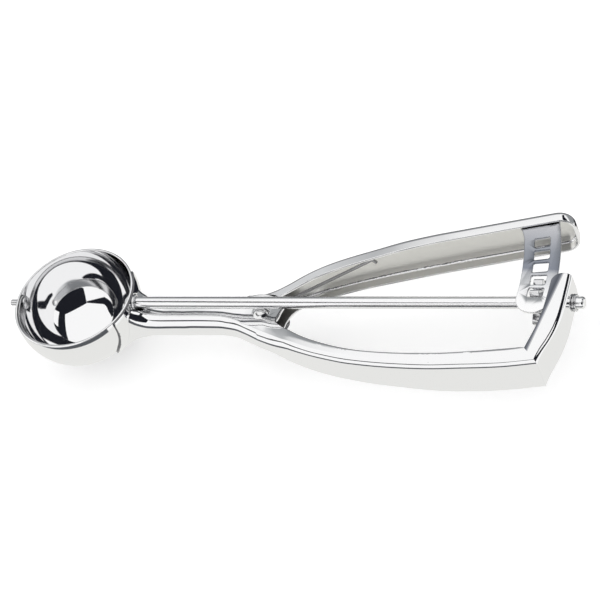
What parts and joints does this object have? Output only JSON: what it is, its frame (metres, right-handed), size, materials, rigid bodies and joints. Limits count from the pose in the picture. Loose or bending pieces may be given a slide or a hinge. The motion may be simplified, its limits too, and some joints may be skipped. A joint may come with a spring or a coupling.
{
  "type": "ice cream scoop",
  "caption": "Squeeze-handle ice cream scoop: hemispherical bowl, sprung lever handle, and a rack, pinion and rod that sweep a scraper band round the bowl.",
  "frame": {"origin": "centre of the bowl's mouth, in the plane of the rim", "axes": "+X along the drive rod from the bowl to the heel, +Y towards the moving lever handle, +Z out of the bowl's mouth"},
  "size_m": [0.2319, 0.0711, 0.0338],
  "materials": {
    "polished_steel": "mirror-polished stainless steel",
    "satin_steel": "satin stainless steel",
    "spring_steel": "bright spring steel",
    "plain_steel": "turned stainless steel"
  },
  "bodies": {
    "frame": {"bowl": "polished_steel", "stem_and_handle": "polished_steel", "heel": "polished_steel", "bowl_rod_bush": "plain_steel", "heel_rod_bush": "plain_steel", "front_pivot_pin": "plain_steel", "pivot_rivet": "plain_steel", "return_spring": "spring_steel"},
    "lever": {"lever_handle": "polished_steel", "rack_plate": "satin_steel", "rack_rivets": "plain_steel", "pivot_spacer": "plain_steel"},
    "drive": {"drive_rod": "polished_steel", "pinion": "satin_steel", "pinion_pin": "plain_steel", "thrust_collar": "satin_steel", "collar_screw": "plain_steel", "retaining_ring": "plain_steel", "scraper_band": "spring_steel", "scraper_washer": "plain_steel"}
  },
  "joints": [
    {"name": "lever_squeeze", "type": "hinge", "parent": "frame", "child": "lever", "pos_m": [0.0753, 0, 0], "axis": [0, 0, 1], "range_deg": [-11.2, 0], "stiffness_Nm_per_rad": 2, "springref_deg": 8.59, "deforming": ["return_spring"]},
    {"name": "scraper_turn", "type": "hinge", "parent": "frame", "child": "drive", "pos_m": [0, 0, -0.0034], "axis": [1, 0, 0], "range_deg": [0, 170]}
  ],
  "couplings": [
    {"joint": "scraper_turn", "follows": "lever_squeeze", "ratio": -15.149}
  ]
}
